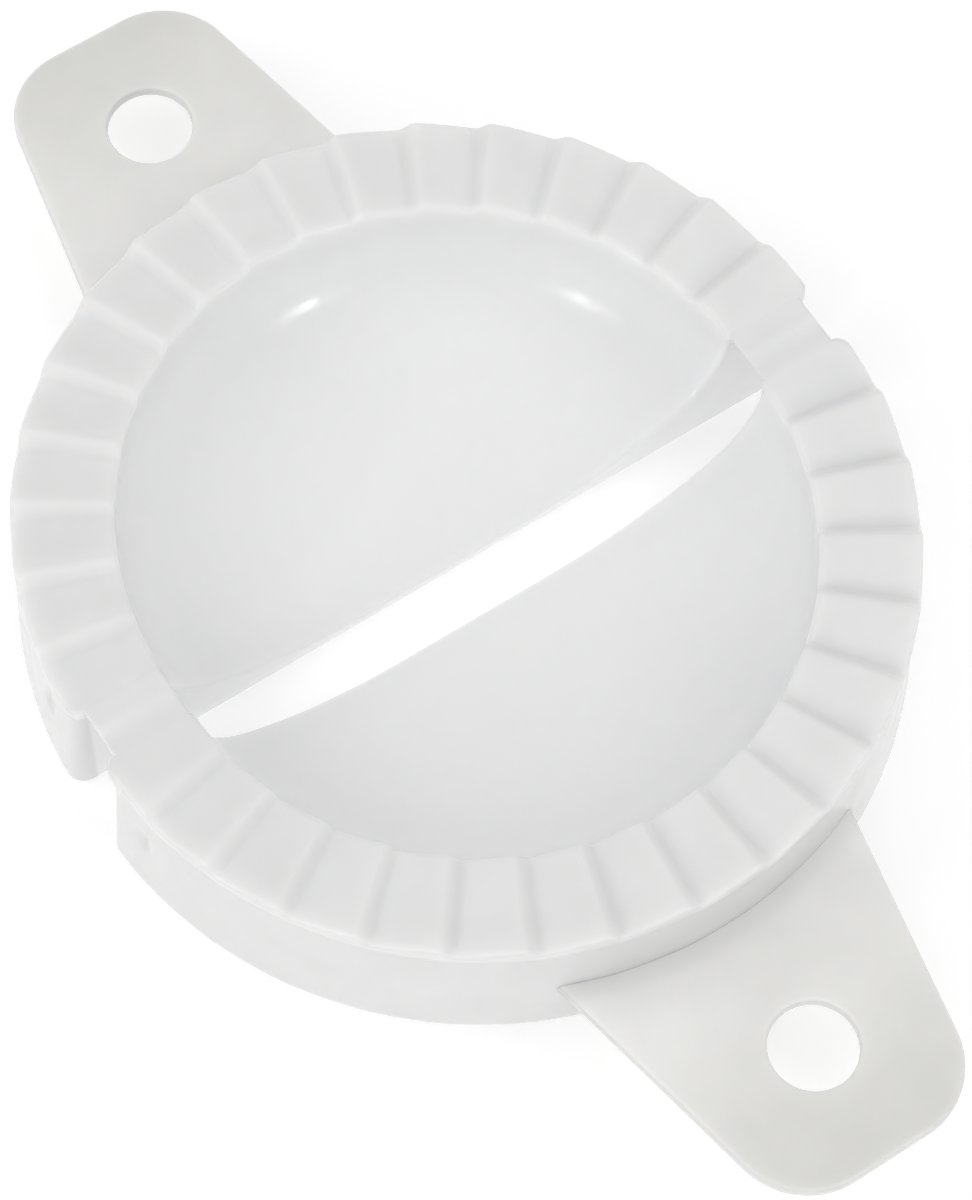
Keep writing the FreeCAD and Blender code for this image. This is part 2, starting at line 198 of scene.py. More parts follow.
def end_share(j):
    """0 at the straight end, 1 at the first radial column, for a column counted from the end."""
    return (j / END) ** END_CROWDING


print(COLUMN_COUNT, "columns on one half")

# %% [markdown]
# Seen from above, each wall of a half is the same figure at another size: a straight side along the
# fold, a corner arc, a large arc about the half's axis and a second corner. One function gives the
# point of such a figure that belongs to a column, and the way out of the wall there, so that the
# rim, the skirt and the foot line up column by column.

# %% Half disc figure


def corner_of(radius, corner, edge):
    """Centre of the right corner's arc, and the angle at which it meets the large arc."""
    centre_v = edge + corner
    centre_u = math.sqrt((radius - corner) ** 2 - centre_v ** 2)
    return centre_u, centre_v, math.atan2(centre_v, centre_u)


def loop_point(j, radius, corner, edge):
    """Place and outward direction of column j on a half disc figure."""
    mirrored = j > LAST / 2
    k = LAST - j if mirrored else j
    centre_u, centre_v, meets = corner_of(radius, corner, edge)
    if k <= CORNER_COLUMNS:
        turn = -math.pi / 2 + (meets + math.pi / 2) * k / CORNER_COLUMNS
        out = Vector((math.cos(turn), math.sin(turn)))
        place = Vector((centre_u, centre_v)) + corner * out
    else:
        if k < END:
            angle = meets + (end_angle - meets) * (k - CORNER_COLUMNS) / END_COLUMNS
        else:
            angle = columns[k - END]
        out = Vector((math.cos(angle), math.sin(angle)))
        place = radius * out
    if mirrored:
        place.x, out.x = -place.x, -out.x
    return place, out


corner_ends = math.degrees(corner_of(RIM_RADIUS, RIM_CORNER, 0)[2])
print("the rim's corner runs into its large arc at", round(corner_ends, 2), "degrees")

# %% [markdown]
# The dish in section: a flat floor, a wide arc and a tighter arc that ends upright at the lip. It
# is walked in even steps of arc, and the way out of the surface is kept with each point, because
# the underside is the same curve pushed down by the wall's thickness.

# %% Section of the dish
FLOOR_RINGS = (4.0, 8.0, 11.0, FLOOR_RADIUS)
WIDE_STEPS = 6
TIGHT_STEPS = 7
floor_level = DISH_FLOOR_UNDERSIDE + DISH_WALL
across = DISH_RADIUS - LIP_ARC - FLOOR_RADIUS
drop = RIM_UNDERSIDE - floor_level
wide_radius = (across ** 2 + drop ** 2 - LIP_ARC ** 2) / (2 * (drop - LIP_ARC))
meeting = math.atan2(drop - wide_radius, across)
section = [(radius, floor_level, math.pi / 2) for radius in FLOOR_RINGS]
for n in range(1, WIDE_STEPS + 1):
    turn = -math.pi / 2 + (meeting + math.pi / 2) * n / WIDE_STEPS
    radius = FLOOR_RADIUS + wide_radius * math.cos(turn)
    section.append((radius, floor_level + wide_radius * (1 + math.sin(turn)), -turn))
for n in range(1, TIGHT_STEPS + 1):
    turn = meeting * (1 - n / TIGHT_STEPS)
    radius = DISH_RADIUS - LIP_ARC + LIP_ARC * math.cos(turn)
    section.append((radius, RIM_UNDERSIDE + LIP_ARC * math.sin(turn), -turn))
DISH_RINGS = len(section)
print("dish: wide arc", round(wide_radius, 1), "mm,", DISH_RINGS, "rings")

# %% [markdown]
# A skin of the half is a fan of rings. The dish's rings stop at the straight side, so their angles
# are squeezed between the two ends; the rim's are true radial lines past the first columns.

# %% Angles along a ring


def end_angles(radius, edge):
    """The angle of every column on a ring whose ends stand at v = edge."""
    start = math.asin(edge / radius)
    angles = [start + (end_angle - start) * end_share(k) for k in range(END)]
    return angles + columns + [math.pi - angle for angle in reversed(angles)]


def squeezed(radius, edge, lip_radius):
    """Column angles of a ring inside the dish, in the proportions that they have at the lip."""
    lip = end_angles(lip_radius, edge)
    start = math.asin(edge / radius)
    share = (math.pi - 2 * start) / (math.pi - 2 * lip[0])
    return [start + (angle - lip[0]) * share for angle in lip]


def ring_points(angles, radius):
    """Places on a circle about the half's axis."""
    return [Vector((radius * math.cos(a), radius * math.sin(a))) for a in angles]


dish_edge = WALL_FACE + TOP_EDGE
print("the dish's rings stop", round(dish_edge, 2), "mm from the half's axis")

# %% [markdown]
# The top skin goes from the middle of the dish outwards: the dish, the rounded lip, and the rim to
# where its edge starts to round. The lean of the surface is kept with each ring, because the edge
# along the fold is rounded off from there.

# %% Rings of the top skin
RIM_SHARES = (0.1, 0.32, 0.6, 0.86, 1.0)
LIP_TURNS = (0, 30, 60, 90)
LIP_SET_BACK = 0.4
RINGS = DISH_RINGS + len(LIP_TURNS) + len(RIM_SHARES)
top_rings, lean = [], []
for radius, level, angle in section:
    ring = ring_points(squeezed(radius, dish_edge, DISH_RADIUS), radius)
    top_rings.append([(p.x, p.y, level) for p in ring])
    lean.append(angle)
outer = DISH_RADIUS + LIP_EDGE
for turn in LIP_TURNS:
    share = math.radians(turn)
    radius = DISH_RADIUS + LIP_EDGE * (1 - math.cos(share))
    edge = TOP_EDGE + (WALL_FACE * LIP_SET_BACK if turn == 0 else 0)
    ring = ring_points(end_angles(radius, edge), radius)
    below = LIP_EDGE * (1 - math.sin(share))
    heights = [rim_top(p.x * outer / radius, p.y * outer / radius) - below for p in ring]
    top_rings.append([(p.x, p.y, z) for p, z in zip(ring, heights)])
    lean.append(share)
lip_ring = top_rings[-1]
rim_loop = [loop_point(j, RIM_RADIUS - TOP_EDGE, RIM_CORNER - TOP_EDGE, TOP_EDGE)
            for j in range(COLUMN_COUNT)]
for share in RIM_SHARES:
    ring = [Vector(a[:2]).lerp(b, share) for a, (b, _) in zip(lip_ring, rim_loop)]
    top_rings.append([(p.x, p.y, rim_top(p.x, p.y)) for p in ring])
    lean.append(math.pi / 2)
print(RINGS, "rings on the top skin")

# %% [markdown]
# The underside is drawn the same way: the dish's outer face, then the flat underside of the rim as
# far as the inner face of the skirt. It has as many rings as the top, so that the two skins can be
# sewn together at the foot, vertex to vertex.

# %% Rings of the bottom skin
INNER_EDGE = WALL_FACE + SKIRT_WALL
INNER_CORNER = WALL_CORNER - SKIRT_WALL
bottom_rings = []
outer_lip = DISH_RADIUS + DISH_WALL
for radius, level, angle in section:
    out = radius + DISH_WALL * math.cos(angle)
    ring = ring_points(squeezed(out, INNER_EDGE, outer_lip), out)
    bottom_rings.append([(p.x, p.y, level - DISH_WALL * math.sin(angle)) for p in ring])
inner_top = [loop_point(j, SKIRT_TOP - SKIRT_WALL, INNER_CORNER, INNER_EDGE)
             for j in range(COLUMN_COUNT)]
dish_end = bottom_rings[-1]
spare = RINGS - DISH_RINGS
for n in range(1, spare + 1):
    ring = [Vector(a[:2]).lerp(b, n / spare) for a, (b, _) in zip(dish_end, inner_top)]
    bottom_rings.append([(p.x, p.y, RIM_UNDERSIDE) for p in ring])
print(len(bottom_rings), "rings on the bottom skin")

# %% [markdown]
# From the edge of each skin the wall goes down to the table, spreading a little. Near both ends of
# the skirt the mould left a small oval hollow, which is simply a place where the wall steps in.

# %% The skirt's slope and its dimples
WALL_LEVELS = (22.1, 19.0, 17.2, 16.4, 15.2, 14.0, 12.8, 11.6, 10.8, 9.0, 6.0, 3.0, 0.6)
LOWEST = WALL_LEVELS[-1]
WALL_SHARES = [(RIM_UNDERSIDE - level) / (RIM_UNDERSIDE - LOWEST) for level in WALL_LEVELS]
DIMPLE_LEVEL = 14.0
DIMPLE_INSET = 9.0
DIMPLE_HALF_TALL = 3.0
DIMPLE_HALF_WIDE = 1.7
DIMPLE_DEEP = 0.7
DIMPLE_FULLNESS = 0.7


def skirt_radius(level):
    """Radius of the skirt's outer face, which spreads towards the table."""
    return SKIRT_FOOT + (SKIRT_TOP - SKIRT_FOOT) * level / RIM_UNDERSIDE


def dimple_depth(place, level):
    """How far the skirt is pressed in at a place: a small oval hollow near each of its ends."""
    across = (place.y - DIMPLE_INSET) / DIMPLE_HALF_WIDE
    along = (level - DIMPLE_LEVEL) / DIMPLE_HALF_TALL
    return DIMPLE_DEEP * max(0.0, 1 - across ** 2 - along ** 2) ** DIMPLE_FULLNESS


print("the skirt spreads", round(SKIRT_FOOT - SKIRT_TOP, 2), "mm down to the table")

# %% [markdown]
# A chain of points hangs from every point of a skin's edge. Each chain starts with the rounding of
# the edge, and ends with a small break and a flat at the foot. These two ends are shared by all the
# chains, so they come first.

# %% Both ends of a chain
EDGE_TURNS = (30, 60, 90)
UP = Vector((0, 0, 1))
TO_FOLD = Vector((0, -1))


def foot_outside(place, out):
    """The last points of an outer chain: round the foot's edge and onto its flat."""
    return [(*(place - out * EDGE_BREAK), EDGE_BREAK), (*(place - out * SHARP_EDGE), 0.0)]


def foot_inside(place, out):
    """The last points of an inner chain."""
    return [(*(place + out * EDGE_BREAK), EDGE_BREAK), (*(place + out * SHARP_EDGE), 0.0)]


def rounded(start, out, turn, normal):
    """A point on the rounding between a surface with this normal and the wall below it."""
    angle = math.radians(turn)
    sideways = Vector((*out, 0)) * TOP_EDGE * math.sin(angle)
    return tuple(start + sideways - normal * TOP_EDGE * (1 - math.cos(angle)))


print("an edge is rounded in", len(EDGE_TURNS), "steps")

# %% [markdown]
# Outside, along the large arc, a chain goes over the rounded edge, down the rim's outer face, under
# its small overhang and down the skirt. The underside is marked by one point between the rim's edge
# and the skirt's seat, which keeps the overhang crisp when the shell is softened.

# %% Chains down the outer side
UNDERSIDE_SHARE = 0.55


def arc_chain(j):
    """Down the outer side of column j."""
    _, out = rim_loop[j]
    start = Vector(top_rings[-1][j])
    chain = [rounded(start, out, turn, UP) for turn in EDGE_TURNS]
    edge, _ = loop_point(j, RIM_RADIUS, RIM_CORNER, 0)
    seat, _ = loop_point(j, SKIRT_TOP, WALL_CORNER, WALL_FACE)
    chain.append((*edge, RIM_UNDERSIDE + SHARP_EDGE))
    chain.append((*(edge - out * EDGE_BREAK), RIM_UNDERSIDE + EDGE_BREAK))
    chain.append((*edge.lerp(seat, UNDERSIDE_SHARE), RIM_UNDERSIDE))
    chain.append((*seat, RIM_UNDERSIDE))
    for level in WALL_LEVELS:
        place, out = loop_point(j, skirt_radius(level), WALL_CORNER, WALL_FACE)
        chain.append((*(place - out * dimple_depth(place, level)), level))
    return chain + foot_outside(*loop_point(j, SKIRT_FOOT, WALL_CORNER, WALL_FACE))


print("a chain down the outer side has", len(arc_chain(0)), "points")

# %% [markdown]
# Along the fold the chains hang from the ends of the rings. On the rim they pass under the overhang
# as the others do. In the dish there is no overhang: the chain goes straight down the back wall's
# face, whose upper edge is the dish's own outline. Both kinds have the same number of points.

# %% Chains down the fold side
FACE_SHARES = (0.03, 0.05, 0.07, 0.09)
FACE_START = 0.1
FLOOR_SHARE = 0.6
FACE_STEPS = FACE_SHARES + tuple(FACE_START + (1 - FACE_START) * share for share in WALL_SHARES)


def fold_chain(i, right):
    """Down the fold side from the end of ring i."""
    side = 1 if right else -1
    start = Vector(top_rings[i][0 if right else LAST])
    normal = Vector((-math.cos(lean[i]) * side, 0, math.sin(lean[i])))
    chain = [rounded(start, TO_FOLD, turn, normal) for turn in EDGE_TURNS]
    edge = Vector(chain[-1])
    # The back wall's straight side ends earlier than the rim's, where its larger corner starts.
    rim_end, wall_end = rim_loop[0][0].x, corner_of(SKIRT_TOP, WALL_CORNER, WALL_FACE)[0]
    foot_end = corner_of(SKIRT_FOOT, WALL_CORNER, WALL_FACE)[0]
    share = max(0.0, (abs(edge.x) - DISH_RADIUS) / (rim_end - DISH_RADIUS))

    def across_at(level):
        reach = foot_end + (wall_end - foot_end) * level / RIM_UNDERSIDE
        return side * (abs(edge.x) * (1 - share) + share * reach) if share else edge.x

    if i > DISH_RINGS:
        seat_x = across_at(RIM_UNDERSIDE)
        chain.append((edge.x, 0, RIM_UNDERSIDE + SHARP_EDGE))
        chain.append((edge.x, EDGE_BREAK, RIM_UNDERSIDE + EDGE_BREAK))
        chain.append(((edge.x + seat_x) / 2, WALL_FACE * UNDERSIDE_SHARE, RIM_UNDERSIDE))
        chain.append((seat_x, WALL_FACE, RIM_UNDERSIDE))
        chain += [(across_at(level), WALL_FACE, level) for level in WALL_LEVELS]
    else:
        floor = min(LOWEST, edge.z * FLOOR_SHARE)
        chain += [(edge.x, WALL_FACE, edge.z + (floor - edge.z) * down) for down in FACE_STEPS]
    return chain + foot_outside(Vector((across_at(0), WALL_FACE)), TO_FOLD)


print("a chain down the fold side has", len(fold_chain(0, True)), "points")

# %% [markdown]
# Inside, the wall has nothing to step round, so its chains only follow the slope of the skirt, one
# wall's thickness further in.

# %% Chains down the inner side


def inner_arc_chain(j):
    """Down the inner side of column j."""
    chain = []
    for level in WALL_LEVELS:
        place, _ = loop_point(j, skirt_radius(level) - SKIRT_WALL, INNER_CORNER, INNER_EDGE)
        chain.append((*place, level))
    return chain + foot_inside(*loop_point(j, SKIRT_FOOT - SKIRT_WALL, INNER_CORNER, INNER_EDGE))


def inner_fold_chain(i, right):
    """Down the inner face of the back wall from the end of ring i."""
    start = Vector(bottom_rings[i][0 if right else LAST])
    floor = min(LOWEST, start.z * FLOOR_SHARE)
    top_end = inner_top[0][0].x
    foot_end = corner_of(SKIRT_FOOT - SKIRT_WALL, INNER_CORNER, INNER_EDGE)[0]
    share = max(0.0, (abs(start.x) - outer_lip) / (top_end - outer_lip))
    chain = []
    for share_down in WALL_SHARES:
        level = start.z + (floor - start.z) * share_down
        reach = foot_end + (top_end - foot_end) * level / RIM_UNDERSIDE
        place = abs(start.x) * (1 - share) + share * reach
        chain.append((math.copysign(place, start.x), INNER_EDGE, level))
    place = math.copysign(abs(start.x) * (1 - share) + share * foot_end, start.x)
    return chain + foot_inside(Vector((place, INNER_EDGE)), TO_FOLD)


print("a chain down the inner side has", len(inner_arc_chain(0)), "points")

# %% [markdown]
# Sewing. A skin is its rings and the chains that hang from its edge; the edge runs along the outer
# ring from right to left and back along the ends of the rings. Inside the smallest ring the floor
# is filled with strips that run along the fold, because so many edges meeting at one point would
# pinch.

# %% One skin


def add_skin(mesh, rings, chain_of_arc, chain_of_fold, turned):
    """Adds a skin and returns the loop of vertices at its foot."""
    def face(*corners):
        mesh.faces.new(corners if not turned else corners[::-1])

    grid = [[mesh.verts.new(p) for p in ring] for ring in rings]
    smallest = grid[0]
    for j in range(LAST // 2 - 1):
        face(smallest[j], smallest[j + 1], smallest[LAST - j - 1], smallest[LAST - j])
    face(*smallest[LAST // 2 - 1:LAST // 2 + 2])
    for inner, outer in zip(grid, grid[1:]):
        for j in range(LAST):
            face(inner[j], outer[j], outer[j + 1], inner[j + 1])
    edge = list(grid[-1])
    chains = [chain_of_arc(j) for j in range(COLUMN_COUNT)]
    for i in range(len(grid) - 2, -1, -1):
        edge.append(grid[i][LAST])
        chains.append(chain_of_fold(i, False))
    for i in range(len(grid) - 1):
        edge.append(grid[i][0])
        chains.append(chain_of_fold(i, True))
    for level in range(len(chains[0])):
        below = [mesh.verts.new(chain[level]) for chain in chains]
        for n in range(len(edge)):
            after = (n + 1) % len(edge)
            face(edge[n], below[n], below[after], edge[after])
        edge = below
    return edge


print("an edge loop has", COLUMN_COUNT + 2 * (RINGS - 1), "points")

# %% [markdown]
# Both skins are added to one bmesh, and a last band of faces across the foot closes it. The result
# is checked as a caster would check a mould: no open edge, and a volume that makes sense.

# %% Sew the shell of one half


def faced_outwards(mesh):
    """Turns all faces round if the mesh came out inside out."""
    mesh.normal_update()
    if mesh.calc_volume(signed=True) < 0:
        bmesh.ops.reverse_faces(mesh, faces=mesh.faces)
    return mesh


def half_shell():
    """Dish, rim, skirt and back wall of the rear half as one closed mesh, about its own axis."""
    mesh = bmesh.new()
    outer = add_skin(mesh, top_rings, arc_chain, fold_chain, False)
    inner = add_skin(mesh, bottom_rings, inner_arc_chain, inner_fold_chain, True)
    for n in range(len(outer)):
        after = (n + 1) % len(outer)
        mesh.faces.new((outer[n], inner[n], inner[after], outer[after]))
    return faced_outwards(mesh)


shell = half_shell()
open_edges = sum(not edge.is_manifold for edge in shell.edges)
shell_volume = round(shell.calc_volume() / 1000, 2)
print(len(shell.faces), "faces,", open_edges, "open edges,", shell_volume, "cubic cm")

# %% [markdown]
# One round of subdivision softens the shell, and its points are turned into a Blender object in
# metres. The front half is the same mesh turned half a turn, as the real one is: that is what makes
# the two saws mesh when the press closes.

# %% From the half's own axis to the table
HALF_TURN = {"rear": 0.0, "front": math.pi}


def to_table(side):
    """From millimetres about a half's own axis to metres on the table."""
    turn = Matrix.Rotation(HALF_TURN[side], 4, "Z")
    return turn @ Matrix.Scale(MM, 4) @ Matrix.Translation((0, AXIS_Y, 0))


def finished(name, mesh, matrix, levels=0):
    """A smooth object made of a bmesh, with its subdivision already in the mesh."""
    data = bpy.data.meshes.new(name)
    mesh.to_mesh(data)
    data.transform(matrix)
    item = bpy.data.objects.new(name, data)
    scene.collection.objects.link(item)
    if levels:
        soften = item.modifiers.new("soften", "SUBSURF")
        soften.levels = soften.render_levels = levels
        graph = bpy.context.evaluated_depsgraph_get()
        item.data = bpy.data.meshes.new_from_object(item.evaluated_get(graph))
        item.modifiers.clear()
        bpy.data.meshes.remove(data)
    item.data.name = name
    item.data.shade_smooth()
    print(f"{name}: {len(item.data.polygons)} faces")
    return item


for side in HALF_TURN:
    half = finished(f"{side}_half_shell", shell, to_table(side), levels=1)
    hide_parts(*[f"{side}_{wall}" for wall in ("crimped_rim", "dish", "skirt", "back_wall")])
    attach(half, f"{side}_half")

# %% [markdown]
# The handle is a flat tab, narrower at its end, that leaves the skirt half way up. Its outline is a
# straight side, a corner arc and half of the end, mirrored, and then an arc inside the skirt's
# wall, where tab and wall are one. The place where the straight side meets that arc has no short
# formula, so it is found by halving.

# %% Outline of the handle
HANDLE_CORNER = 12.0
HANDLE_TAPER = math.radians(11.0)
HANDLE_END_HALF = 16.0
HANDLE_SINK = 0.8
HALVINGS = 40
SIDE_POINTS = 12
CORNER_POINTS = 16
END_POINTS = 3
ROOT_POINTS = 21


def handle_outline():
    """The tab's outline, anticlockwise from the right end of its root."""
    reach = skirt_radius(handle_high.z) - HANDLE_SINK
    quarter = math.pi / 2 - HANDLE_TAPER
    tangent = HANDLE_CORNER * math.tan(quarter / 2)
    arc_u, arc_v = HANDLE_END_HALF - tangent, HANDLE_END - HANDLE_CORNER
    side_u = arc_u + HANDLE_CORNER * math.cos(HANDLE_TAPER)
    side_v = arc_v + HANDLE_CORNER * math.sin(HANDLE_TAPER)
    low, high = 0.0, side_v
    for _ in range(HALVINGS):
        root_v = (low + high) / 2
        root_u = side_u + (side_v - root_v) * math.tan(HANDLE_TAPER)
        low, high = (root_v, high) if math.hypot(root_u, root_v) < reach else (low, root_v)
    root, bend = Vector((root_u, root_v)), Vector((side_u, side_v))
    tip, middle = Vector((arc_u, HANDLE_END)), Vector((0, HANDLE_END))
    points = [root.lerp(bend, n / SIDE_POINTS) for n in range(SIDE_POINTS)]
    for n in range(CORNER_POINTS):
        turn = HANDLE_TAPER + quarter * n / CORNER_POINTS
        u, v = HANDLE_CORNER * math.cos(turn), HANDLE_CORNER * math.sin(turn)
        points.append(Vector((arc_u + u, arc_v + v)))
    points += [tip.lerp(middle, n / END_POINTS) for n in range(END_POINTS)]
    mirrored = [Vector((-p.x, p.y)) for p in reversed(points)]
    root_angles = np.linspace(math.atan2(root_v, -root_u), math.atan2(root_v, root_u), ROOT_POINTS)
    inside = [Vector((math.cos(a), math.sin(a))) * reach for a in root_angles[1:-1]]
    return points + [middle] + mirrored + inside


outline = handle_outline()
print("handle:", len(outline), "points round its outline")

# %% [markdown]
# The tab is a face with a hole, drawn as a band of quads between the outline and the hole, and
# given its thickness. A bevel then rounds its edges, outside and in the hole, as the mould does.

# %% Handles
HANDLE_EDGE = 0.7
BEVEL_SEGMENTS = 4
BEVEL_ANGLE = math.radians(60)


def handle_mesh():
    """The rear half's tab with its hanging hole, about the half's own axis."""
    middle = Vector((0, HOLE_V))
    mesh = bmesh.new()
    rims = []
    for level in (handle_low.z, handle_high.z):
        outer = [mesh.verts.new((p.x, p.y, level)) for p in outline]
        hole_ring = []
        for p in outline:
            out = (p - middle).normalized() * HOLE_RADIUS
            hole_ring.append(mesh.verts.new((middle.x + out.x, middle.y + out.y, level)))
        rims.append((outer, hole_ring))
    (low_out, low_in), (high_out, high_in) = rims
    for n in range(len(outline)):
        after = (n + 1) % len(outline)
        mesh.faces.new((high_out[n], high_out[after], high_in[after], high_in[n]))
        mesh.faces.new((low_out[after], low_out[n], low_in[n], low_in[after]))
        mesh.faces.new((low_out[n], low_out[after], high_out[after], high_out[n]))
        mesh.faces.new((low_in[after], low_in[n], high_in[n], high_in[after]))
    return faced_outwards(mesh)


handle = handle_mesh()
for side in HALF_TURN:
    tab = finished(f"{side}_handle_tab", handle, to_table(side))
    bevel = tab.modifiers.new("round_edges", "BEVEL")
    bevel.width = HANDLE_EDGE * MM
    bevel.segments = BEVEL_SEGMENTS
    bevel.limit_method = "ANGLE"
    bevel.angle_limit = BEVEL_ANGLE
    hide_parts(f"{side}_handle")
    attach(tab, f"{side}_half")

# %% [markdown]
# The two film hinges are thin straps of the same plastic that join the rims' ends. They are swept
# along y and thinned from below at the middle, where they bend when the press closes. In the mould
# they run into the rims without a seam, so each end of a strap climbs to the level of the rim
# beside it and sinks into it just behind the rounded edge.

# %% Section of a film hinge
FILM_THICKNESS = 0.4
FILM_HALF = 1.2
FILM_RAMP = 0.4
# Place behind the rim's straight end, and how far the strap lies below the rim's top there.
# The first place has no depth: there the strap is still level and free of the rim.
STRAP_ENDS = ((-1.6, None), (-1.0, 0.11), (-0.5, 0.06), (0.0, 0.03), (0.3, 0.012), (0.55, 0.004),
              (0.8, 0.02), (1.1, 0.2))
CLIMB_DEPTHS = [(place, depth) for place, depth in STRAP_ENDS if depth is not None]
# The climb starts a hair before its first place, so that rounding can't leave that place out.
HAIR = 0.01
CLIMB_START = CLIMB_DEPTHS[0][0] - HAIR
strap_thickness = strap_high.z - strap_low.z


def strap_section(x, y):
    """Level of the strap's top and of its underside."""
    behind = abs(y) - AXIS_Y
    top = strap_high.z
    if behind > CLIMB_START:
        # A half's own u runs the other way on the front half, which is turned half a turn.
        level = rim_top(math.copysign(x, x * y), behind)
        top = level - float(np.interp(behind, *zip(*CLIMB_DEPTHS)))
    ramp = (FILM_HALF, FILM_HALF + FILM_RAMP)
    near = np.interp(abs(y), ramp, (FILM_THICKNESS, strap_thickness))
    return top, strap_high.z - float(near)


print(f"strap {strap_thickness:.2f} mm thick, {FILM_THICKNESS} mm where it bends")

# %% [markdown]
# The straps are swept as rings of points and finely divided at the middle. They are the only pieces
# that cross the joint.

# %% Film hinges
STRAP_EDGE = 0.15
STRAP_MARGIN = 1.0
STRAP_STRIPS = 5
FILM_STATIONS = 33


def strap_ring(low_x, high_x, y):
    """The points round a strap at one place along it."""
    top, under = strap_section((low_x + high_x) / 2, y)
    strips = list(np.linspace(low_x + STRAP_MARGIN, high_x - STRAP_MARGIN, STRAP_STRIPS))
    xs = [low_x + STRAP_EDGE] + strips + [high_x - STRAP_EDGE]
    points = [(x, y, top) for x in xs]
    points += [(high_x, y, top - STRAP_EDGE), (high_x, y, under + STRAP_EDGE)]
    points += [(x, y, under) for x in reversed(xs)]
    return points + [(low_x, y, under + STRAP_EDGE), (low_x, y, top - STRAP_EDGE)]


def strap_mesh(low_x, high_x):
    """One strap, swept from the front rim to the rear rim."""
    film = list(np.linspace(-FILM_HALF - FILM_RAMP, FILM_HALF + FILM_RAMP, FILM_STATIONS))
    ends = [AXIS_Y + place for place, _ in STRAP_ENDS]
    stations = [-y for y in reversed(ends)] + film + ends
    mesh = bmesh.new()
    rings = [[mesh.verts.new(p) for p in strap_ring(low_x, high_x, y)] for y in stations]
    for near, far in zip(rings, rings[1:]):
        for n in range(len(near)):
            after = (n + 1) % len(near)
            mesh.faces.new((near[n], near[after], far[after], far[n]))
    for ring in (rings[0], rings[-1]):
        mesh.faces.new(ring)
    bmesh.ops.recalc_face_normals(mesh, faces=mesh.faces)
    return mesh


for name in ("right_film_hinge", "left_film_hinge"):
    low, high = box_mm(name)
    strap = finished(f"{name}_strap", strap_mesh(low.x, high.x), Matrix.Scale(MM, 4), levels=1)
    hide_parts(name)
    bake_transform(strap)

# %% [markdown]
# The plastic needs a material made of nodes: noise for its unevenness, and values that tell where
# on the piece a point lies. A few helpers keep that short. Noise is placed in the piece's own
# coordinates, in metres, so that it rides along when the press folds.

# %% Helpers for a material


def node(tree, kind, **settings):
    """A shader node with some of its settings changed."""
    made = tree.nodes.new(kind)
    for setting, value in settings.items():
        setattr(made, setting, value)
    return made


def noise(tree, size_mm, detail):
    """Soft noise with features of about this size."""
    made = node(tree, "ShaderNodeTexNoise")
    made.inputs["Scale"].default_value = 1 / (size_mm * MM)
    made.inputs["Detail"].default_value = detail
    place = node(tree, "ShaderNodeTexCoord")
    tree.links.new(place.outputs["Object"], made.inputs["Vector"])
    return made.outputs["Fac"]


def remap(tree, source, before, after, curve="LINEAR"):
    """Maps one range of a value to another."""
    made = node(tree, "ShaderNodeMapRange", interpolation_type=curve)
    names = ("From Min", "From Max", "To Min", "To Max")
    for name, value in zip(names, (*before, *after)):
        made.inputs[name].default_value = value
    tree.links.new(source, made.inputs["Value"])
    return made.outputs["Result"]


def compute(tree, operation, *values):
    """The result of a sum with numbers or with other nodes' values."""
    made = node(tree, "ShaderNodeMath", operation=operation)
    for socket, value in zip(made.inputs, values):
        if isinstance(value, (int, float)):
            socket.default_value = value
        else:
            tree.links.new(value, socket)
    return made.outputs["Value"]


def times(tree, first, second):
    """Two values multiplied; of two masks, the part that both have."""
    return compute(tree, "MULTIPLY", first, second)


print("features of 1 mm ask for a noise scale of", round(1 / MM))

# %% [markdown]
# Every tone and fade below starts from a place on the half: how far along the fold, how far from
# the half's own axis, how high. Both halves answer alike, because the distance from the fold is
# taken without its sign.

# %% Where a point lies


def split(tree, output):
    """The three parts of one of the texture coordinates."""
    place = node(tree, "ShaderNodeTexCoord")
    parts = node(tree, "ShaderNodeSeparateXYZ")
    tree.links.new(place.outputs[output], parts.inputs["Vector"])
    return parts.outputs


def height(tree):
    """Height over the table with the press lying open, in metres."""
    return split(tree, "Object")["Z"]


def own_place(tree):
    """Distance along the fold and away from the half's own axis, in metres."""
    parts = split(tree, "Object")
    away = compute(tree, "SUBTRACT", compute(tree, "ABSOLUTE", parts["Y"]), AXIS_Y * MM)
    return parts["X"], away


def own_radius(tree):
    """Distance from the half's own upright axis, in metres."""
    along, away = own_place(tree)
    square = compute(tree, "ADD", times(tree, along, along), times(tree, away, away))
    return compute(tree, "SQRT", square)


def band(size, blend):
    """The two ends of a blend in metres, from millimetres measured outwards from a size."""
    return [(size + place) * MM for place in blend]


print("the half's own axis stands", round(AXIS_Y, 2), "mm from the fold line")

# %% [markdown]
# The dish's wall is thin, so more light comes up through it from the white table; painted light
# makes the dish lighter than the rim. Between the two halves light passes to and fro, and painted
# light makes the faces there as light. The skirt faces the low lamps, and with an even tone it
# would come out lighter than in the photograph, so painted shade makes it darker. The handle is
# thick, and painted shade makes it greyer towards its end. Edges that turn away get painted shade,
# a shade darker, because there the eye looks along the plastic instead of into it.

# %% Places where light and shade are painted into the colour, as values between 0 and 1
DISH_BLEND = (1, -2)
UNDER_RIM_BLEND = (0, -0.4)
OVER_RIM_BLEND = (0, 0.4)
FACE_BLEND = (0.6, 0.2)
FACE_END_BLEND = (-2, -5)
SKIRT_BLEND = (-2.4, -1.8)
BORDER_BLEND = (-1, -0.5)
UPRIGHT_BLEND = (0.85, 0.5)
RISING, FALLING = (0, 1), (1, 0)


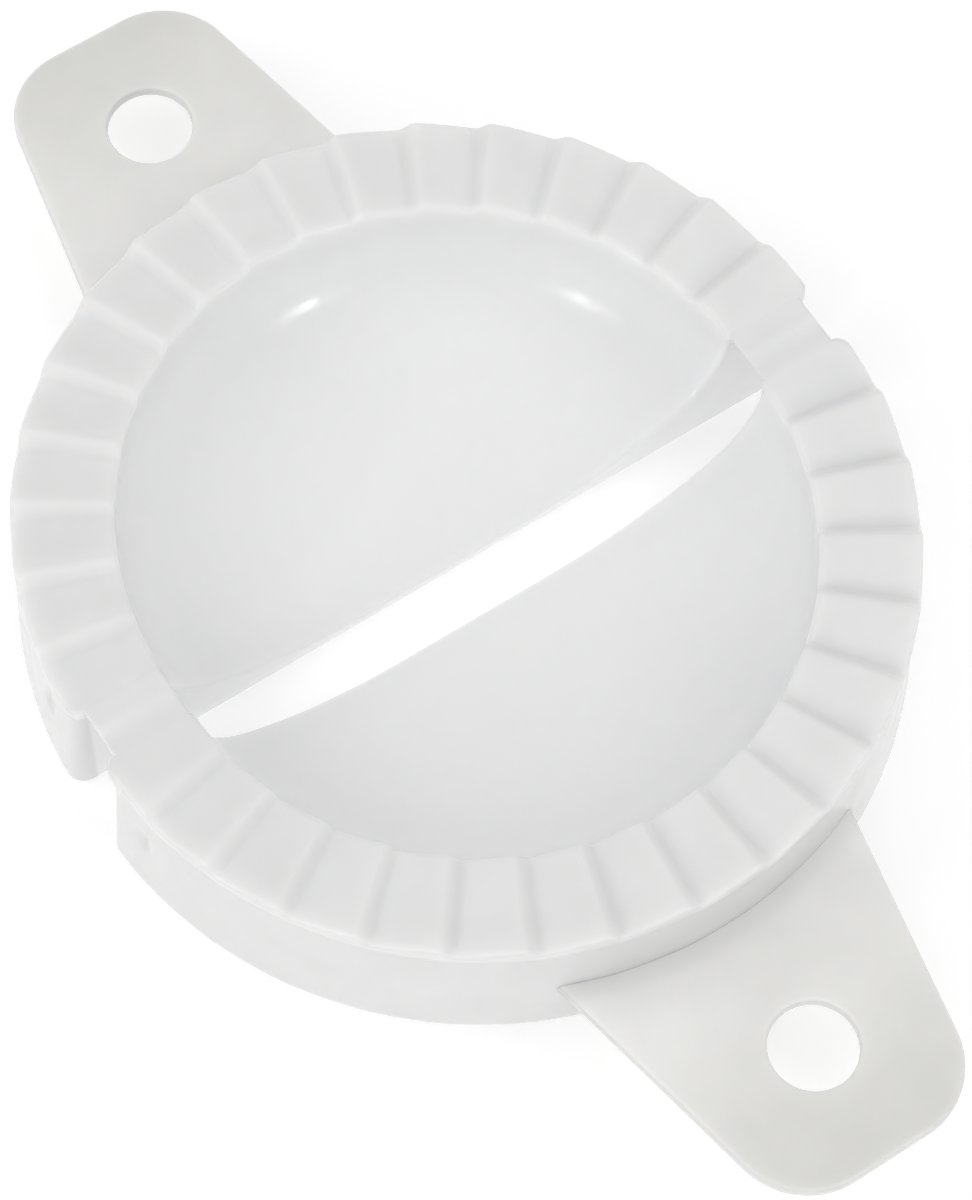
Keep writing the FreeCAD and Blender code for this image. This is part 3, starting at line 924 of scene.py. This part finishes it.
def inside_dish(tree):
    """1 in the dish, 0 on the rim, for the dish's painted light."""
    return remap(tree, own_radius(tree), band(DISH_RADIUS, DISH_BLEND), RISING, "SMOOTHSTEP")


def under_rim(tree):
    """1 on everything lower than the rim."""
    return remap(tree, height(tree), band(RIM_UNDERSIDE, UNDER_RIM_BLEND), RISING)


def fold_face(tree):
    """1 on the faces of the two back walls, which painted light makes lighter."""
    along, away = own_place(tree)
    near = remap(tree, away, band(WALL_FACE, FACE_BLEND), RISING)
    reach = compute(tree, "ABSOLUTE", along)
    span = remap(tree, reach, band(SKIRT_TOP, FACE_END_BLEND), RISING)
    return times(tree, near, times(tree, span, under_rim(tree)))


def towards_end(tree):
    """0 at the rim, 1 at the end of the handle, for the handle's painted shade."""
    _, away = own_place(tree)
    return remap(tree, away, (RIM_RADIUS * MM, HANDLE_END * MM), RISING)


def turned_away(tree):
    """1 where the surface stands upright, 0 where it faces up or down, for painted shade on edges.
    """
    upright = compute(tree, "ABSOLUTE", split(tree, "Normal")["Z"])
    return remap(tree, upright, UPRIGHT_BLEND, RISING)


def skirt_side(tree):
    """1 on the skirt, for its painted shade."""
    outside = remap(tree, own_radius(tree), band(SKIRT_TOP, SKIRT_BLEND), RISING)
    return times(tree, outside, under_rim(tree))


def rim_border(tree):
    """1 on the outer edge of the rim, above its underside, for its painted shade."""
    outside = remap(tree, own_radius(tree), band(RIM_RADIUS, BORDER_BLEND), RISING)
    raised = remap(tree, height(tree), band(RIM_UNDERSIDE, OVER_RIM_BLEND), RISING)
    return times(tree, turned_away(tree), times(tree, outside, raised))


dish_blend = [round(end / MM, 1) for end in band(DISH_RADIUS, DISH_BLEND)]
print("the dish's tone blends in between", dish_blend, "mm from its half's axis")

# %% [markdown]
# Light that wanders inside one mesh can't cross into another, so where a strap runs into a rim a
# dark line would show, though the plastic is one. Near that seam the scattering fades to a plain
# matt surface in both pieces, and the seam disappears. The handle's root fades the same way.

# %% Scattering that fades at the seams
RIM_FADE = (1.0, 4.0)
STRAP_FADE = (-1.5, -4.0)
ROOT_FADE = (1.0, 4.0)
STRAP_REACH = (-1, 1)


def from_strap(tree, fade):
    """0 near the end of a strap, 1 where light wanders freely."""
    along, away = own_place(tree)
    from_seam = remap(tree, away, band(0, fade), RISING, "SMOOTHSTEP")
    reach = compute(tree, "ABSOLUTE", along)
    off_strap = remap(tree, reach, band(DISH_RADIUS, STRAP_REACH), FALLING, "SMOOTHSTEP")
    return compute(tree, "MAXIMUM", from_seam, off_strap)


def from_rim(tree):
    """For the shells, which fade behind the rim's straight end."""
    return from_strap(tree, RIM_FADE)


def from_film(tree):
    """For the straps, which fade before they reach the rim."""
    return from_strap(tree, STRAP_FADE)


def from_root(tree):
    """For the handles, which fade towards their root."""
    edge = band(skirt_radius(handle_high.z), ROOT_FADE)
    return remap(tree, own_radius(tree), edge, RISING, "SMOOTHSTEP")


print("scattering is whole again", RIM_FADE[1], "mm from a seam")

# %% [markdown]
# Natural polypropylene is milky: light goes in, wanders a millimetre or so and comes out again.
# Subsurface scattering does exactly that, so the edges stay soft and the steps run into each other.
# Slow noise makes the milkiness uneven, a second one varies the gloss, and a fine bump breaks it up
# as a used mould does. The painted light and shade of the places are laid over each other one after
# another, and the unevenness comes last, over all of them.

# %% Polypropylene
NOISE_RANGE = (0.3, 0.7)
CLOUD_SIZE, CLOUD_DETAIL, CLOUDS = 9, 5, (0.975, 1.012)
HAZE_SIZE, HAZE_DETAIL, HAZE = 6, 3, (0.16, 0.25)
GRAIN_SIZE, GRAIN_DETAIL, GRAIN_STRENGTH, GRAIN_HEIGHT = 1.1, 5, 0.06, 0.2
SCATTER_BY_COLOUR = (1.0, 0.97, 0.92)
PLASTIC_IOR = 1.49


def toned(tree, tone, painted_light_and_shade):
    """The colour of the plastic, with painted light and shade where their functions say."""
    before = None
    for where, other in painted_light_and_shade:
        mix = node(tree, "ShaderNodeMix", data_type="RGBA")
        mix.inputs["A"].default_value = (*tone, 1)
        mix.inputs["B"].default_value = (*other, 1)
        tree.links.new(where(tree), mix.inputs["Factor"])
        if before:
            tree.links.new(before, mix.inputs["A"])
        before = mix.outputs["Result"]
    return before


def polypropylene(name, tone, painted_light_and_shade, depth_mm, free):
    """Milky plastic whose light wanders this deep, freely where the last function says."""
    material = bpy.data.materials.new(name)
    material.use_nodes = True
    tree = material.node_tree
    shader = tree.nodes["Principled BSDF"]
    tree.links.new(free(tree), shader.inputs["Subsurface Weight"])
    shader.inputs["Subsurface Radius"].default_value = SCATTER_BY_COLOUR
    shader.inputs["Subsurface Scale"].default_value = depth_mm * MM
    shader.inputs["IOR"].default_value = PLASTIC_IOR
    milk = node(tree, "ShaderNodeHueSaturation")
    clouds = remap(tree, noise(tree, CLOUD_SIZE, CLOUD_DETAIL), NOISE_RANGE, CLOUDS)
    tree.links.new(clouds, milk.inputs["Value"])
    tree.links.new(toned(tree, tone, painted_light_and_shade), milk.inputs["Color"])
    tree.links.new(milk.outputs["Color"], shader.inputs["Base Color"])
    haze = remap(tree, noise(tree, HAZE_SIZE, HAZE_DETAIL), NOISE_RANGE, HAZE)
    tree.links.new(haze, shader.inputs["Roughness"])
    bump = node(tree, "ShaderNodeBump")
    bump.inputs["Strength"].default_value = GRAIN_STRENGTH
    bump.inputs["Distance"].default_value = GRAIN_HEIGHT * MM
    tree.links.new(noise(tree, GRAIN_SIZE, GRAIN_DETAIL), bump.inputs["Height"])
    tree.links.new(bump.outputs["Normal"], shader.inputs["Normal"])
    print(name, "made of", len(tree.nodes), "nodes")
    return material


# %% [markdown]
# Three finishes of the one plastic: the shells, the handles, which are thicker and a little warmer,
# and the film. Each piece takes the finish that the last word of its name asks for.

# %% Three finishes, and which piece wears which
SHELL_TONE = (0.87, 0.87, 0.87)
HANDLE_TONE = (0.905, 0.905, 0.895)
FILM_TONE = (0.86, 0.86, 0.86)
SHELL_DEPTH, HANDLE_DEPTH = 2.2, 1.8
# Painted light: a lighter dish, which the straps also take where they lie within its radius.
painted_dish_light = (inside_dish, (0.94, 0.94, 0.94))
# Painted light on the back walls' faces; painted shade on the skirt and on the rim's outer edge.
shell_painted_light_and_shade = (painted_dish_light, (fold_face, (0.93, 0.93, 0.93)),
               (skirt_side, (0.74, 0.74, 0.74)), (rim_border, (0.76, 0.76, 0.76)))
# Painted shade: the handle greyer towards its end and darker on its upright edges.
handle_painted_shade = ((towards_end, (0.775, 0.775, 0.76)), (turned_away, (0.70, 0.70, 0.69)))
FINISHES = {
    "shell": polypropylene("natural_polypropylene", SHELL_TONE, shell_painted_light_and_shade, SHELL_DEPTH, from_rim),
    "tab": polypropylene("handle_polypropylene", HANDLE_TONE, handle_painted_shade, HANDLE_DEPTH,
                         from_root),
    "strap": polypropylene("film_polypropylene", FILM_TONE, (painted_dish_light,), SHELL_DEPTH, from_film),
}
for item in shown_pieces():
    kind = item.name.split("_")[-1]
    item.data.materials.clear()
    item.data.materials.append(FINISHES[kind])
    print(item.name, "wears", FINISHES[kind].name)

# %% [markdown]
# The table is a plain white sheet that glows a little, as a product table does when it is lit from
# below: that is why the gap between the halves and the hanging holes read as clean white.

# %% Table
TABLE_HALF = 3.0
TABLE_DROP = 0.00005
SHEET_TONE = 0.9
SHEET_ROUGHNESS = 0.8
SHEET_GLOW = 0.3
WHITE = (1, 1, 1, 1)
table_data = bpy.data.meshes.new("white_table")
corners = [(-TABLE_HALF, -TABLE_HALF, 0), (TABLE_HALF, -TABLE_HALF, 0), (TABLE_HALF, TABLE_HALF, 0),
           (-TABLE_HALF, TABLE_HALF, 0)]
table_data.from_pydata(corners, [], [(0, 1, 2, 3)])
table = bpy.data.objects.new("white_table", table_data)
table.location.z = -TABLE_DROP
scene.collection.objects.link(table)
paper = bpy.data.materials.new("white_sheet")
paper.use_nodes = True
sheet_shader = paper.node_tree.nodes["Principled BSDF"]
sheet_shader.inputs["Base Color"].default_value = (SHEET_TONE, SHEET_TONE, SHEET_TONE, 1)
sheet_shader.inputs["Roughness"].default_value = SHEET_ROUGHNESS
sheet_shader.inputs["Emission Color"].default_value = WHITE
sheet_shader.inputs["Emission Strength"].default_value = SHEET_GLOW
table_data.materials.append(paper)
print("table", 2 * TABLE_HALF, "m across")

# %% [markdown]
# Light. The photograph has hardly any shadow: the press stands in a pale surround, with broad soft
# boxes on every side. Two small glints on the rear dish's far wall give away two narrower lamps. A
# mirror on that wall's slope would send the camera's line low over the table, to 200 and to 280
# degrees round from the fold line, so that is where they stand. The broad boxes light the plastic
# but are kept out of its gloss, so that only the two narrow ones glint.

# %% Light
SURROUND = 0.43
# Name, direction and height in degrees, distance and side in metres, power in watts, seen in gloss.
SOFT_BOXES = (
    ("left_glint_light", 200, 17, 1.3, 0.17, 1.6, True),
    ("right_glint_light", 280, 17, 1.3, 0.17, 1.35, True),
    ("left_low_light", 200, 17, 1.3, 0.5, 0.2, False),
    ("front_low_light", 240, 27, 1.3, 0.5, 0.9, False),
    ("camera_side_light", 235, 40, 1.3, 0.8, 1.5, False),
    ("left_light", 150, 38, 0.8, 0.45, 1.0, False),
    ("right_light", 330, 38, 0.8, 0.45, 0.72, False),
    ("right_high_light", 10, 60, 0.8, 0.4, 0.5, False),
    ("far_light", 60, 40, 0.55, 0.3, 0.17, False),
    ("rear_light", 120, 55, 0.6, 0.4, 0.18, False),
    ("top_light", 50, 82, 0.62, 0.3, 0.1, False),
)
world = bpy.data.worlds.new("pale_surround")
world.use_nodes = True
world.node_tree.nodes["Background"].inputs["Color"].default_value = WHITE
world.node_tree.nodes["Background"].inputs["Strength"].default_value = SURROUND
scene.world = world


def soft_box(name, direction, height, distance, side, power, glossy):
    """A square lamp that looks at the middle of the press."""
    lamp = bpy.data.lights.new(name, "AREA")
    lamp.shape = "SQUARE"
    lamp.size = side
    lamp.energy = power
    item = bpy.data.objects.new(name, lamp)
    turn, climb = math.radians(direction), math.radians(height)
    level = math.cos(climb)
    out = Vector((level * math.cos(turn), level * math.sin(turn), math.sin(climb)))
    item.location = out * distance
    item.rotation_euler = (-out).to_track_quat("-Z", "Y").to_euler()
    item.visible_glossy = glossy
    scene.collection.objects.link(item)


for row in SOFT_BOXES:
    soft_box(*row)
print(len(SOFT_BOXES), "soft boxes")
scene.view_settings.view_transform = "Standard"

# %% [markdown]
# The camera was worked out from the photograph: where the two rims, the holes and the slot fall in
# the picture leaves only one place for it. It looks down at about 65 degrees from 0.6 metres, with
# a long lens, and needs no shift.

# %% Camera
PICTURE_HEIGHT = 1200
FOCAL_PIXELS = 4181.24
SENSOR = 36.0
CAMERA_RIGHT = Vector((0.8359, -0.5486, 0.0185))
CAMERA_BACK = Vector((-0.2477, -0.3468, 0.9046))
CAMERA_PLACE = Vector((-0.14944, -0.21477, 0.55431))
lens = bpy.data.cameras.new("camera")
lens.sensor_fit = "AUTO"
lens.sensor_width = SENSOR
lens.lens = FOCAL_PIXELS * SENSOR / PICTURE_HEIGHT
camera = bpy.data.objects.new("camera", lens)
back = CAMERA_BACK.normalized()
right = (CAMERA_RIGHT - back * CAMERA_RIGHT.dot(back)).normalized()
up = back.cross(right)
turned = Matrix((right, up, back)).transposed().to_4x4()
camera.matrix_world = Matrix.Translation(CAMERA_PLACE) @ turned
scene.collection.objects.link(camera)
scene.camera = camera
print("lens", round(lens.lens, 2), "mm")
